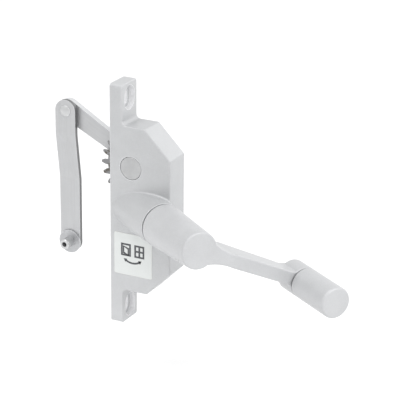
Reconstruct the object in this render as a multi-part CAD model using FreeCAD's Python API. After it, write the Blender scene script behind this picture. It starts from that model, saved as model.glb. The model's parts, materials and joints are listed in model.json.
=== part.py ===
import FreeCAD, Part
import math
import os
from FreeCAD import Vector

# Crank operator for a window sash, in millimetres.
# +Z is up, -Y is the room side, +Y is the window side, +X is the far side.
# The origin is the middle of the two screw slots, on the back face.

# Mounting flange
flange_height = 165.0
body_width = 20.0
flange_thickness = 9.0
flange_corner = 2.0
screw_spacing = 144.0
slot_width = 6.5
slot_length = 11.0
counterbore_width = 12.4
counterbore_length = 16.4
counterbore_depth = 3.6

# Gear case
case_top = 55.5
case_bottom = -58.5
case_depth = 44.0
head_bevel = 18.5
foot_bevel = 17.3
side_wall = 2.5
outer_wall = 2.2
edge_round = 1.6
side_round = 1.0
ear_fillet = 3.0
boss_fillet = 1.2
foot_chamber_top = -20.0
wheel_chamber_bottom = 0.0

# Drive train: a single-start worm on the tilted crank axis turns a helical sector
pivot_depth = 15.3
pivot_height = 27.6
crank_tilt = 34.0
crank_offset = -2.0
normal_module = 2.0
wheel_teeth = 20
worm_starts = 1
lead_angle = 8.0
pressure_angle = 20.0
tooth_slack = 0.2
mesh_turn = 5.0
sector_teeth = 9
teeth_past_worm = 2
sector_hub_radius = 13.0
sector_hub_steps = 12
flank_steps = 3
root_land = 0.3
wheel_face = 6.0
worm_length = 14.0
worm_clearance = 0.85
thread_seat = 0.3

# Crank boss on the case, and the bushes in it
boss_radius = 14.5
boss_face = 35.4
rear_boss_wall = 1.6
rear_wall = 1.5
shaft_radius = 5.0
journal_radius = 3.5
front_bush_length = 7.0
rear_bush_length = 4.8
rear_bush_wall = 2.0
washer_thickness = 0.8
washer_wall = 2.6
sleeve_wall = 0.6
end_play = 0.2
ring_thickness = 1.2
ring_groove = 0.9
ring_inset = 1.0
ring_width = 1.4
ring_opening = 5.0
seal_gap = 0.4
seal_inset = 0.2

# Crank handle and knob
hub_gap = 1.0
hub_length = 49.0
hub_start_radius = 14.5
hub_end_radius = 12.3
hub_rim_round = 1.0
hub_start_chamfer = 0.6
rim_land = 0.4
shaft_seat_share = 0.6
crank_length = 85.0
crank_droop = 25.0
arm_half_width = 4.5
arm_root_place = 6.8
arm_neck_place = 29.5
arm_tail_length = 10.0
arm_tip_setback = 6.3
blend_place = 0.39
blend_rise = 0.22
knee_place = 0.32
knee_rise = 0.28
arm_root_depth = 33.0
arm_middle_depth = 22.0
arm_middle_share = 0.53
knob_boss_radius = 10.4
knob_boss_depth = 16.0
knob_boss_round = 0.8
knob_gap = 1.0
knob_radius = 10.4
knob_length = 36.5
knob_round = 1.6
knob_start_chamfer = 0.5
knob_washer_radius = 6.4
knob_pin_radius = 3.5
knob_pin_reach = 24.0
knob_pin_seat = 13.0
knob_bore_spare = 1.0
clip_setback = 5.0
clip_groove_depth = 0.7
clip_groove_reach = 1.2
set_screw_radius = 2.5
set_screw_place = 10.0
set_screw_recess = 2.5
socket_radius = 1.4
socket_depth = 2.5

# Swing arm, link and stud
arm_length = 60.2
arm_angle = 28.4
arm_thickness = 4.0
arm_neck = 5.4
arm_neck_place_on_hub = 11.25
arm_shoulder = 10.0
arm_end_radius = 7.0
arm_hub_radius = 12.5
pin_radius = 4.0
pin_head_radius = 7.75
pin_head_depth = 1.6
pin_head_chamfer = 0.35
pin_head_gap = 0.15
wheel_bush_radius = 6.0
spacer_radius = 7.5
rivet_circle = 9.3
rivet_radius = 1.5
link_length = 92.7
link_width = 15.0
link_thickness = 3.0
link_joggle = 4.5
joggle_start = 16.0
joggle_end = 48.0
link_pin_radius = 2.5
link_head_radius = 3.9
link_head_height = 1.1
link_washer_radius = 6.0
stud_radius = 3.5
stud_shank_radius = 3.0
stud_bore_radius = 1.75
stud_reach = 7.0
stud_chamfer = 0.4
stud_flange_radius = 8.0
stud_flange_thickness = 1.2

# Label and small hardware
label_width = 28.0
label_height = 29.0
label_thickness = 0.2
label_edge_depth = 3.0
label_top = -17.8
label_corner = 1.2
cover_thickness = 1.3
cover_inset = 0.3
cover_screw_radius = 1.5
cover_screw_head = 2.9
cover_screw_length = 9.5
cover_hole_depth = 13.0
cross_length = 4.0
cross_width = 0.8
cross_depth = 0.6
cover_post_radius = 3.6
cover_post_margin = 3.0

# Clearances
running = 0.05
side_play = 0.1

half_width = body_width / 2
chamber_half = half_width - side_wall
tilt = math.radians(crank_tilt)
lead = math.radians(lead_angle)
wheel_helix = tilt - lead
worm_radius = normal_module * worm_starts / (2 * math.sin(lead))
wheel_radius = normal_module * wheel_teeth / (2 * math.cos(wheel_helix))
worm_tip = worm_radius + normal_module
worm_root = worm_radius - 1.25 * normal_module
wheel_tip = wheel_radius + normal_module
wheel_root = wheel_radius - 1.25 * normal_module
crank_height = pivot_height - worm_radius - wheel_radius
worm_bore = worm_tip + worm_clearance
rear_boss_radius = worm_bore + rear_boss_wall

# Stack across the case, all centred on the worm's crossing with the wheel
wheel_near = crank_offset - wheel_face / 2
wheel_far = crank_offset + wheel_face / 2
arm_far = wheel_far + arm_thickness

# Stations along the crank axis, counted outwards from the crossing
worm_front = worm_length / 2
rear_washer_end = -worm_front - washer_thickness
rear_bush_front = rear_washer_end - end_play
rear_bush_end = rear_bush_front - rear_bush_length
rear_boss_end = rear_bush_end - rear_wall
ring_front = boss_face - ring_inset
ring_back = ring_front - ring_thickness
front_bush_back = ring_back - front_bush_length
front_washer_back = front_bush_back - end_play - washer_thickness
hub_start = boss_face + hub_gap
hub_end = hub_start + hub_length
shaft_end = hub_start + hub_length * shaft_seat_share
knob_start = hub_end + knob_gap
knob_end = knob_start + knob_length

crank_centre = Vector(crank_offset, -pivot_depth, crank_height)
crank_axis = Vector(-math.sin(tilt), -math.cos(tilt), 0)
crank_side = Vector(math.cos(tilt), -math.sin(tilt), 0)
arm_direction = Vector(0, math.cos(math.radians(arm_angle)), math.sin(math.radians(arm_angle)))
wheel_centre = Vector(0, -pivot_depth, pivot_height)
link_centre = wheel_centre + arm_direction * arm_length
stud_centre = link_centre - Vector(0, 0, link_length)


def frame_of(origin, x_dir, z_dir):
    """Placement whose local X and Z run along the given directions."""
    y_dir = z_dir.cross(x_dir)
    matrix = FreeCAD.Matrix(
        x_dir.x, y_dir.x, z_dir.x, origin.x,
        x_dir.y, y_dir.y, z_dir.y, origin.y,
        x_dir.z, y_dir.z, z_dir.z, origin.z,
        0, 0, 0, 1,
    )
    return FreeCAD.Placement(matrix)


droop = math.radians(crank_droop)
handle_direction = crank_side * math.cos(droop) - Vector(0, 0, 1) * math.sin(droop)
shaft_frame = frame_of(crank_centre, crank_side, crank_axis)
handle_frame = frame_of(crank_centre, handle_direction, crank_axis)


def placed(shape, placement):
    """Copy of a shape moved by a placement."""
    moved = shape.copy()
    moved.Placement = placement.multiply(moved.Placement)
    return moved


def rod(radius, low, high):
    """Cylinder on the local Z axis between two heights."""
    return Part.makeCylinder(radius, high - low, Vector(0, 0, low))


def tube(outer, inner, low, high):
    """Ring or tube on the local Z axis between two heights."""
    return rod(outer, low, high).cut(rod(inner, low - 1, high + 1))


def cross_rod(radius, near, far, centre):
    """Cylinder along X between two X places, through a centre."""
    return Part.makeCylinder(radius, far - near, Vector(near, centre.y, centre.z), Vector(1, 0, 0))


def cross_tube(outer, inner, near, far, centre):
    """Tube along X between two X places."""
    return cross_rod(outer, near, far, centre).cut(cross_rod(inner, near - 1, far + 1, centre))


def box(low, high):
    """Box between two corners."""
    return Part.makeBox(high[0] - low[0], high[1] - low[1], high[2] - low[2], Vector(*low))


def polygon_prism(points, direction):
    """Closed polygon pushed along a direction."""
    corners = [Vector(*point) for point in points]
    return Part.Face(Part.makePolygon(corners + corners[:1])).extrude(direction)


def case_points(inset):
    """Corners of the gear case, front side only, moved inwards by an inset."""
    corner = inset * math.tan(math.radians(22.5))
    top = case_top - inset
    bottom = case_bottom + inset
    front = -(case_depth - inset)
    return [
        (top, -(case_depth - head_bevel - corner)),
        (case_top - head_bevel - corner, front),
        (case_bottom + foot_bevel + corner, front),
        (bottom, -(case_depth - foot_bevel - corner)),
    ]


def case_prism(inset, half, back, low, high):
    """The case profile filled from the front to a back plane, kept between two heights."""
    (top, top_y), (head, head_y), (foot, foot_y), (bottom, bottom_y) = case_points(inset)
    outline = [
        (-half, back, top), (-half, top_y, top), (-half, head_y, head),
        (-half, foot_y, foot), (-half, bottom_y, bottom), (-half, back, bottom),
    ]
    prism = polygon_prism(outline, Vector(2 * half, 0, 0))
    return prism.common(box((-half, -case_depth, low), (half, back, high)))


def slot_prism(width, length, height, low, high):
    """Slot with round ends, long along Z, cut through along Y."""
    straight = length / 2 - width / 2
    middle = box((-width / 2, low, height - straight), (width / 2, high, height + straight))
    ends = [
        Part.makeCylinder(width / 2, high - low, Vector(0, low, height + side * straight), Vector(0, 1, 0))
        for side in (-1, 1)
    ]
    return middle.fuse(ends[0]).fuse(ends[1])


def side_edges(shape, half):
    """Edges that lie in either side face and aren't on the back plane."""
    found = []
    for edge in shape.Edges:
        bound = edge.BoundBox
        on_side = bound.XLength < 0.001 and abs(abs(bound.Center.x) - half) < 0.001
        on_back = bound.YLength < 0.001 and abs(bound.Center.y) < 0.001
        if on_side and not on_back:
            found.append(edge)
    return found


def make_shell_block():
    """Flange and case as one solid profile with rounded edges."""
    half_height = flange_height / 2
    (top, top_y), (head, head_y), (foot, foot_y), (bottom, bottom_y) = case_points(0)
    ear = -flange_thickness
    outline = [
        (-half_width, 0, half_height), (-half_width, ear, half_height), (-half_width, ear, top),
        (-half_width, top_y, top), (-half_width, head_y, head), (-half_width, foot_y, foot),
        (-half_width, bottom_y, bottom), (-half_width, ear, bottom),
        (-half_width, ear, -half_height), (-half_width, 0, -half_height),
    ]
    block = polygon_prism(outline, Vector(body_width, 0, 0))
    end_corners = [
        edge for edge in block.Edges
        if edge.BoundBox.YLength > flange_thickness - 0.01
        and abs(abs(edge.BoundBox.Center.z) - half_height) < 0.01
    ]
    block = block.makeFillet(flange_corner, end_corners)
    inner_corners = [
        edge for edge in block.Edges
        if edge.BoundBox.XLength > body_width - 1
        and abs(-edge.BoundBox.Center.y - flange_thickness) < 0.01
        and abs(edge.BoundBox.Center.z) < half_height - 1
    ]
    block = block.makeFillet(ear_fillet, inner_corners)
    outer_corners = [
        edge for edge in block.Edges
        if edge.BoundBox.XLength > body_width - 1
        and -edge.BoundBox.Center.y > flange_thickness + ear_fillet + 1
    ]
    block = block.makeFillet(edge_round, outer_corners)
    return block.makeFillet(side_round, side_edges(block, half_width))


def boss_foot_edges(body):
    """Edges where the round boss leaves the near side and the front of the case."""
    found = []
    for edge in body.Edges:
        oblique = type(edge.Curve).__name__ in ("Ellipse", "BSplineCurve")
        if oblique and edge.BoundBox.XMax < 0:
            found.append(edge)
    return found


def make_housing():
    """Die-cast housing: flange, case, crank boss and its cavities."""
    block = make_shell_block()
    reach = flange_height
    keep = box((-reach, -reach, -reach), (half_width, 0, reach))
    boss = placed(rod(boss_radius, rear_boss_end, boss_face), shaft_frame).common(keep)
    behind = box((-reach, -reach, -reach), (reach, 0, reach))
    rear_boss = placed(rod(rear_boss_radius, rear_boss_end, 0), shaft_frame).common(behind)
    body = block.fuse(boss).removeSplitter()
    body = body.makeFillet(boss_fillet, boss_foot_edges(body)).fuse(rear_boss)
    body = body.cut(case_prism(outer_wall, chamber_half, 1.0, wheel_chamber_bottom, case_top))
    body = body.cut(case_prism(outer_wall, chamber_half, 1.0, case_bottom, foot_chamber_top))
    body = body.cut(placed(rod(worm_bore, rear_bush_front, boss_face + 1), shaft_frame))
    body = body.cut(placed(rod(journal_radius + rear_bush_wall, rear_bush_end, 0), shaft_frame))
    body = body.cut(placed(rod(worm_bore + ring_groove, ring_back, ring_front), shaft_frame))
    body = body.cut(cross_rod(pin_radius, -half_width - 1, half_width + 1, wheel_centre))
    sink_radius = pin_head_radius + pin_head_gap
    body = body.cut(cross_rod(sink_radius, -half_width - 1, -half_width + pin_head_depth, wheel_centre))
    for side in (-1, 1):
        height = side * screw_spacing / 2
        body = body.cut(slot_prism(slot_width, slot_length, height, -flange_thickness - 1, 1))
        sink = -flange_thickness + counterbore_depth
        front = -flange_thickness - 1
        body = body.cut(slot_prism(counterbore_width, counterbore_length, height, front, sink))
    for height in cover_screw_heights():
        post = Part.makeCylinder(
            cover_post_radius, case_depth - outer_wall - cover_seat(),
            Vector(0, -cover_seat(), height), Vector(0, -1, 0),
        )
        post = post.common(case_prism(outer_wall / 2, half_width, 0, case_bottom, case_top))
        body = body.fuse(post)
        body = body.cut(cover_screw_hole(height))
    return body.removeSplitter()


def cover_seat():
    """Depth of the shoulder that the back cover rests on."""
    return cover_thickness + cover_inset


def cover_low():
    """Lower edge of the back cover."""
    return case_bottom + outer_wall + side_play


def cover_high():
    """Upper edge of the back cover."""
    return foot_chamber_top - side_play


def cover_screw_heights():
    """Heights of the two cover screws."""
    margin = cover_post_radius + cover_post_margin
    return (cover_low() + margin, cover_high() - margin)


def cover_screw_hole(height):
    """Threaded hole for one cover screw."""
    return Part.makeCylinder(cover_screw_radius, cover_hole_depth, Vector(0, 1, height), Vector(0, -1, 0))


def make_back_cover():
    """Steel plate that closes the lower chamber."""
    half = chamber_half - side_play
    plate = box((-half, -cover_seat(), cover_low()), (half, -cover_inset, cover_high()))
    for height in cover_screw_heights():
        plate = plate.cut(cover_screw_cone(height))
        plate = plate.cut(cover_screw_hole(height))
    return plate


def cover_screw_cone(height):
    """Countersunk head of one cover screw."""
    depth = cover_screw_head - cover_screw_radius
    return Part.makeCone(
        cover_screw_head, cover_screw_radius, min(depth, cover_thickness),
        Vector(0, -cover_inset, height), Vector(0, -1, 0),
    )


def make_cover_screws():
    """Two countersunk screws with a cross slot."""
    screws = []
    for height in cover_screw_heights():
        base = Vector(0, -cover_inset, height)
        stem = Part.makeCylinder(cover_screw_radius, cover_screw_length, base, Vector(0, -1, 0))
        screw = cover_screw_cone(height).fuse(stem)
        for across, up in ((cross_length, cross_width), (cross_width, cross_length)):
            low = (-across / 2, -cover_inset - cross_depth, height - up / 2)
            high = (across / 2, 0, height + up / 2)
            screw = screw.cut(box(low, high))
        screws.append(screw.removeSplitter())
    return Part.makeCompound(screws)


def make_pivot_pin():
    """Pin across the case that carries the wheel, with a flush round head."""
    pin = cross_rod(pin_radius, -half_width, half_width, wheel_centre)
    head = cross_rod(pin_head_radius, -half_width, -half_width + pin_head_depth, wheel_centre)
    rim = [
        edge for edge in head.Edges
        if edge.BoundBox.XLength < 0.001 and abs(edge.BoundBox.Center.x + half_width) < 0.001
    ]
    head = head.makeChamfer(pin_head_chamfer, rim)
    return pin.fuse(head).removeSplitter()


def involute_point(base, radius, turn):
    """Point on an involute of a base circle at a radius, turned about the centre."""
    roll = math.sqrt(max((radius / base) ** 2 - 1, 0))
    angle = roll - math.atan(roll) + turn
    return (radius * math.cos(angle), radius * math.sin(angle))


def tooth_section():
    """One wheel tooth across the wheel's axis, from its root to its tip and back."""
    pitch = math.tau / wheel_teeth
    slope = math.atan(math.tan(math.radians(pressure_angle)) / math.cos(wheel_helix))
    base = wheel_radius * math.cos(slope)
    thinning = tooth_slack / (2 * wheel_radius * math.cos(wheel_helix))
    half_tooth = pitch / 4 - thinning
    pitch_roll = math.sqrt((wheel_radius / base) ** 2 - 1)
    lean = pitch_roll - math.atan(pitch_roll)
    flank_low = max(wheel_root + root_land, base)
    flank = []
    for step in range(flank_steps + 1):
        radius = flank_low + (wheel_tip - flank_low) * step / flank_steps
        x, y = involute_point(base, radius, -half_tooth - lean)
        flank.append((x, y))
    foot = -half_tooth - lean
    start = (wheel_root * math.cos(foot), wheel_root * math.sin(foot))
    lower = [start] + flank
    upper = [(x, -y) for x, y in reversed(lower)]
    return lower + upper


def sector_wire(turn, along):
    """Outline of the toothed sector, turned about X and placed at an X."""
    tooth = tooth_section()
    pitch = math.tau / wheel_teeth
    outline = []
    for index in range(sector_teeth):
        angle = turn + pitch * (index - teeth_past_worm)
        for x, y in tooth:
            across = x * math.cos(angle) - y * math.sin(angle)
            height = x * math.sin(angle) + y * math.cos(angle)
            outline.append((across, height))
    first = turn + pitch * (sector_teeth - teeth_past_worm)
    last = turn + math.tau - pitch * (teeth_past_worm + 1)
    for step in range(sector_hub_steps + 1):
        angle = first + (last - first) * step / sector_hub_steps
        outline.append((sector_hub_radius * math.cos(angle), sector_hub_radius * math.sin(angle)))
    points = [Vector(along, across - pivot_depth, height + pivot_height) for across, height in outline]
    return Part.makePolygon(points + points[:1])


def make_worm_wheel():
    """Left-hand helical sector; a tooth gap stands over the worm when mesh_turn is zero."""
    twist = math.tan(wheel_helix) / wheel_radius
    gap_turn = -math.pi / 2 + math.pi / wheel_teeth + math.radians(mesh_turn)
    slices = 2
    sections = []
    for index in range(slices + 1):
        along = wheel_near + wheel_face * index / slices
        sections.append(sector_wire(gap_turn - (along - crank_offset) * twist, along))
    wheel = Part.makeLoft(sections, True, True)
    wheel = wheel.cut(cross_rod(wheel_bush_radius, wheel_near - 1, wheel_far + 1, wheel_centre))
    for rivet in rivet_bars(wheel_near - 1, wheel_far + 1):
        wheel = wheel.cut(rivet)
    return wheel


def rivet_bars(near, far):
    """The three rivets that hold the swing arm on the wheel."""
    bars = []
    for index in range(3):
        angle = math.radians(arm_angle) + math.pi / 3 + math.tau * index / 3
        centre = wheel_centre + Vector(0, math.cos(angle), math.sin(angle)) * rivet_circle
        bars.append(cross_rod(rivet_radius, near, far, centre))
    return bars


def arm_outline(near, thickness):
    """Swing arm plate: a round hub, a neck and a round end."""
    across = Vector(0, -arm_direction.z, arm_direction.y)
    corners = [(0, arm_shoulder), (arm_neck_place_on_hub, arm_neck), (arm_length, arm_end_radius)]
    points = [wheel_centre + arm_direction * along + across * half for along, half in corners]
    points += [wheel_centre + arm_direction * along - across * half for along, half in reversed(corners)]
    flat = [(near, point.y, point.z) for point in points]
    plate = polygon_prism(flat, Vector(thickness, 0, 0))
    plate = plate.fuse(cross_rod(arm_hub_radius, near, near + thickness, wheel_centre))
    return plate.fuse(cross_rod(arm_end_radius, near, near + thickness, link_centre))


def make_swing_arm():
    """Steel arm fixed on the far face of the wheel."""
    arm = arm_outline(wheel_far, arm_thickness).removeSplitter()
    arm = arm.cut(cross_rod(wheel_bush_radius, wheel_far - 1, arm_far + 1, wheel_centre))
    arm = arm.cut(cross_rod(link_pin_radius, wheel_far - 1, arm_far + 1, link_centre))
    for rivet in rivet_bars(wheel_far - 1, arm_far + 1):
        arm = arm.cut(rivet)
    return arm


def make_wheel_bush():
    """Bronze bush in the wheel and arm, running on the pivot pin."""
    return cross_tube(wheel_bush_radius, pin_radius + running, wheel_near, arm_far, wheel_centre)


def make_wheel_spacers():
    """Two washers on the pivot pin that keep the wheel in the middle."""
    near = cross_tube(spacer_radius, pin_radius, -chamber_half, wheel_near - side_play, wheel_centre)
    far = cross_tube(spacer_radius, pin_radius, arm_far + side_play, chamber_half, wheel_centre)
    return Part.makeCompound([near, far])


def make_crank_shaft():
    """Stepped shaft from the rear bush to inside the handle's hub."""
    journal = rod(journal_radius, rear_bush_end + side_play, worm_front)
    main = rod(shaft_radius, worm_front, shaft_end)
    return journal.fuse(main).removeSplitter()


def make_worm():
    """Right-hand worm: a core and a thread of straight-sided section."""
    lead_length = math.pi * normal_module * worm_starts / math.cos(lead)
    pitch = lead_length / worm_starts
    slope = math.tan(math.radians(pressure_angle)) / math.cos(lead)
    half_pitch_width = pitch / 4 - tooth_slack / (2 * math.cos(lead))
    half_root = half_pitch_width + (worm_radius - worm_root) * slope
    half_tip = half_pitch_width - normal_module * slope
    inner = worm_root - thread_seat
    half_inner = half_root + thread_seat * slope
    run = worm_length - 2 * half_inner
    helix = Part.makeHelix(lead_length, run, worm_radius)
    bottom = Vector(inner, 0, -half_inner)
    section = Part.makePolygon([
        bottom,
        Vector(worm_tip, 0, -half_tip),
        Vector(worm_tip, 0, half_tip),
        Vector(inner, 0, half_inner),
        bottom,
    ])
    thread = Part.Wire(helix.Edges).makePipeShell([section], True, True)
    thread = placed(thread, FreeCAD.Placement(Vector(0, 0, -run / 2), FreeCAD.Rotation()))
    # The crest's middle crosses the plane of the two axes when mesh_turn is zero.
    crest_turn = math.pi / 2 - math.tau * (run / 2) / lead_length
    crest_turn += math.radians(mesh_turn) * wheel_teeth / worm_starts
    turn = FreeCAD.Placement(Vector(), FreeCAD.Rotation(Vector(0, 0, 1), math.degrees(crest_turn)))
    thread = placed(thread, turn)
    core = rod(worm_root, -worm_front, worm_front)
    worm = core.fuse(thread)
    return worm.cut(rod(journal_radius, -worm_front - 1, worm_front + 1))


def make_spacer_sleeve():
    """Sleeve on the shaft between the worm and the front thrust washer."""
    return tube(shaft_radius + sleeve_wall, shaft_radius, worm_front, front_washer_back)


def make_thrust_washers():
    """Washers on the shaft behind the worm and behind the front bush."""
    rear = tube(journal_radius + rear_bush_wall, journal_radius, rear_washer_end, -worm_front)
    front_back = front_washer_back
    front = tube(shaft_radius + washer_wall, shaft_radius, front_back, front_back + washer_thickness)
    return Part.makeCompound([rear, front])


def make_front_bush():
    """Bronze bush in the mouth of the boss."""
    return tube(worm_bore, shaft_radius + running, front_bush_back, ring_back)


def make_rear_bush():
    """Bronze bush at the blind end of the crank bore."""
    outer = journal_radius + rear_bush_wall
    return tube(outer, journal_radius + running, rear_bush_end, rear_bush_front)


def make_boss_ring():
    """Open spring ring that holds the front bush in the boss."""
    ring = tube(worm_bore + ring_groove, worm_bore - ring_width, ring_back, ring_front)
    half = ring_opening / 2
    return ring.cut(box((0, -half, ring_back - 1), (2 * worm_bore, half, ring_front + 1)))


def make_seal_ring():
    """Felt ring round the shaft that fills the mouth of the boss."""
    outer = worm_bore - ring_width - seal_gap
    return tube(outer, shaft_radius + running, ring_back, boss_face - seal_inset)


def waisted_outline():
    """Outline of the handle's arm seen along the crank axis: waisted, with blended ends."""
    hub_flat = hub_end_radius - hub_rim_round - rim_land
    boss_flat = knob_boss_radius - hub_rim_round - rim_land
    tip_x = crank_length - arm_tip_setback
    tail_x = tip_x - arm_tail_length
    root_y = math.sqrt(hub_flat ** 2 - arm_root_place ** 2)
    tip_y = math.sqrt(boss_flat ** 2 - arm_tip_setback ** 2)
    blend_x = arm_root_place + (arm_neck_place - arm_root_place) * blend_place
    blend_y = arm_half_width + (root_y - arm_half_width) * blend_rise
    knee_x = tip_x - arm_tail_length * knee_place
    knee_y = arm_half_width + (tip_y - arm_half_width) * knee_rise
    edges = []
    for side in (1, -1):
        root = Vector(arm_root_place, side * root_y, 0)
        neck = Vector(arm_neck_place, side * arm_half_width, 0)
        tail = Vector(tail_x, side * arm_half_width, 0)
        tip = Vector(tip_x, side * tip_y, 0)
        run = [
            Part.Arc(root, Vector(blend_x, side * blend_y, 0), neck).toShape(),
            Part.makeLine(neck, tail),
            Part.Arc(tail, Vector(knee_x, side * knee_y, 0), tip).toShape(),
        ]
        edges.append((root, run, tip))
    (top_root, top, top_tip), (low_root, low, low_tip) = edges
    loop = top + [Part.makeLine(top_tip, low_tip)] + low[::-1] + [Part.makeLine(low_root, top_root)]
    return Part.Face(Part.Wire(Part.__sortEdges__(loop)))


def handle_side_profile(half):
    """Side view of the handle's arm: flat front, hollowed back."""
    root = Vector(0, 0, hub_end - arm_root_depth)
    middle = Vector(crank_length * arm_middle_share, 0, hub_end - arm_middle_depth)
    tip = Vector(crank_length, 0, hub_end - knob_boss_depth)
    back = Part.Arc(root, middle, tip).toShape()
    front_tip = Vector(crank_length, 0, hub_end)
    front_root = Vector(0, 0, hub_end)
    sides = [back, Part.makeLine(tip, front_tip)]
    sides += [Part.makeLine(front_tip, front_root), Part.makeLine(front_root, root)]
    face = Part.Face(Part.Wire(Part.__sortEdges__(sides)))
    face.translate(Vector(0, -half, 0))
    return face.extrude(Vector(0, 2 * half, 0))


def circle_edges_at(shape, height, radius):
    """Full or part circles of a radius at a local height."""
    found = []
    for edge in shape.Edges:
        flat = edge.BoundBox.ZLength < 0.001 and abs(edge.BoundBox.Center.z - height) < 0.001
        if flat and hasattr(edge.Curve, "Radius") and abs(edge.Curve.Radius - radius) < 0.01:
            found.append(edge)
    return found


def make_crank_handle():
    """Cast handle: tapered hub, waisted arm and the boss that carries the knob."""
    hub = Part.makeCone(hub_start_radius, hub_end_radius, hub_length, Vector(0, 0, hub_start))
    hub = hub.makeFillet(hub_rim_round, circle_edges_at(hub, hub_end, hub_end_radius))
    hub = hub.makeChamfer(hub_start_chamfer, circle_edges_at(hub, hub_start, hub_start_radius))
    plan = waisted_outline()
    plan.translate(Vector(0, 0, hub_end - arm_root_depth))
    arm = plan.extrude(Vector(0, 0, arm_root_depth))
    arm = arm.common(handle_side_profile(hub_start_radius))
    front_edges = [
        edge for edge in arm.Edges
        if edge.BoundBox.ZLength < 0.001 and abs(edge.BoundBox.Center.z - hub_end) < 0.001
        and edge.BoundBox.XLength > 1
    ]
    arm = arm.makeFillet(hub_rim_round, front_edges)
    end_boss = rod(knob_boss_radius, hub_end - knob_boss_depth, hub_end)
    end_boss = end_boss.makeFillet(knob_boss_round, end_boss.Edges)
    end_boss.translate(Vector(crank_length, 0, 0))
    handle = hub.fuse(arm).fuse(end_boss)
    handle = handle.cut(rod(shaft_radius, hub_start - 1, shaft_end))
    pin_hole = rod(knob_pin_radius, hub_end - knob_pin_seat, hub_end + 1)
    pin_hole.translate(Vector(crank_length, 0, 0))
    handle = handle.cut(pin_hole)
    return handle.cut(set_screw_hole())


def set_screw_hole():
    """Radial threaded hole on the underside of the hub."""
    height = hub_start + set_screw_place
    return Part.makeCylinder(set_screw_radius, hub_start_radius + 1, Vector(0, 0, height), Vector(0, -1, 0))


def make_set_screw():
    """Socket set screw that bears on the shaft."""
    height = hub_start + set_screw_place
    length = hub_start_radius - shaft_radius - set_screw_recess
    screw = Part.makeCylinder(set_screw_radius, length, Vector(0, -shaft_radius, height), Vector(0, -1, 0))
    mouth = -shaft_radius - length
    corners = []
    for index in range(6):
        angle = math.tau * index / 6
        corners.append((socket_radius * math.cos(angle), mouth, height + socket_radius * math.sin(angle)))
    socket = polygon_prism(corners, Vector(0, socket_depth, 0))
    return screw.cut(socket)


def knob_clip_low():
    """Back of the groove that the knob's clip sits in."""
    return knob_start + knob_pin_reach - clip_setback


def make_knob_pin():
    """Pin fixed in the handle's end boss that the knob turns on."""
    tip = knob_start + knob_pin_reach
    pin = rod(knob_pin_radius, hub_end - knob_pin_seat, tip)
    groove_low = knob_clip_low()
    groove_high = groove_low + ring_thickness
    groove = tube(knob_pin_radius + 1, knob_pin_radius - clip_groove_depth, groove_low, groove_high)
    pin = pin.cut(groove)
    pin.translate(Vector(crank_length, 0, 0))
    return pin


def make_knob():
    """Cylindrical knob with a blind bore and a groove for its clip."""
    knob = rod(knob_radius, knob_start, knob_end)
    knob = knob.makeFillet(knob_round, circle_edges_at(knob, knob_end, knob_radius))
    knob = knob.makeChamfer(knob_start_chamfer, circle_edges_at(knob, knob_start, knob_radius))
    bore_end = knob_start + knob_pin_reach + knob_bore_spare
    knob = knob.cut(rod(knob_pin_radius + running, knob_start - 1, bore_end))
    groove_low = knob_clip_low()
    knob = knob.cut(rod(knob_pin_radius + clip_groove_reach, groove_low, groove_low + ring_thickness))
    knob.translate(Vector(crank_length, 0, 0))
    return knob


def make_knob_clip():
    """Spring ring in the knob that runs in the pin's groove."""
    low = knob_clip_low() + side_play
    high = knob_clip_low() + ring_thickness - side_play
    inner = knob_pin_radius - clip_groove_depth + running
    clip = tube(knob_pin_radius + clip_groove_reach, inner, low, high)
    clip.translate(Vector(crank_length, 0, 0))
    return clip


def make_knob_washer():
    """Washer between the knob and the end boss."""
    washer = tube(knob_washer_radius, knob_pin_radius, hub_end, knob_start - side_play)
    washer.translate(Vector(crank_length, 0, 0))
    return washer


def link_near():
    """Near face of the link at its upper end."""
    return wheel_far - washer_thickness - side_play - link_thickness


def link_shape():
    """Joggled strip with round ends."""
    near = link_near()
    far = near + link_thickness
    top = link_centre.z
    low = stud_centre.z
    half = link_width / 2
    start = top - joggle_start
    end = top - joggle_end
    side = [
        (near, top), (near, start), (near + link_joggle, end), (near + link_joggle, low),
        (far + link_joggle, low), (far + link_joggle, end), (far, start), (far, top),
    ]
    points = [(x, link_centre.y - half, z) for x, z in side]
    strip = polygon_prism(points, Vector(0, link_width, 0))
    strip = strip.fuse(cross_rod(half, near, far, link_centre))
    strip = strip.fuse(cross_rod(half, near + link_joggle, far + link_joggle, stud_centre))
    return strip.removeSplitter()


def make_link():
    """Steel link that hangs from the arm and pushes the sash."""
    link = link_shape()
    link = link.cut(cross_rod(link_pin_radius + running, link_near() - 1, wheel_far + 1, link_centre))
    hole_near = link_near() + link_joggle - 1
    return link.cut(cross_rod(stud_shank_radius, hole_near, hole_near + link_thickness + 2, stud_centre))


def domed_head(radius, height, base, centre):
    """Rivet head towards -X, a cap of a sphere."""
    sphere_radius = (radius ** 2 + height ** 2) / (2 * height)
    middle = Vector(base - height + sphere_radius, centre.y, centre.z)
    sphere = Part.makeSphere(sphere_radius, middle)
    return cross_rod(radius, base - height, base, centre).common(sphere)


def make_link_rivet():
    """Rivet fixed in the arm's end, with its head outside the link."""
    head_base = link_near() - side_play
    rivet = cross_rod(link_pin_radius, head_base - link_head_height / 2, arm_far, link_centre)
    return rivet.fuse(domed_head(link_head_radius, link_head_height, head_base, link_centre)).removeSplitter()


def make_link_washer():
    """Washer on the rivet between the link and the arm."""
    near = wheel_far - washer_thickness
    return cross_tube(link_washer_radius, link_pin_radius, near, wheel_far, link_centre)


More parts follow.
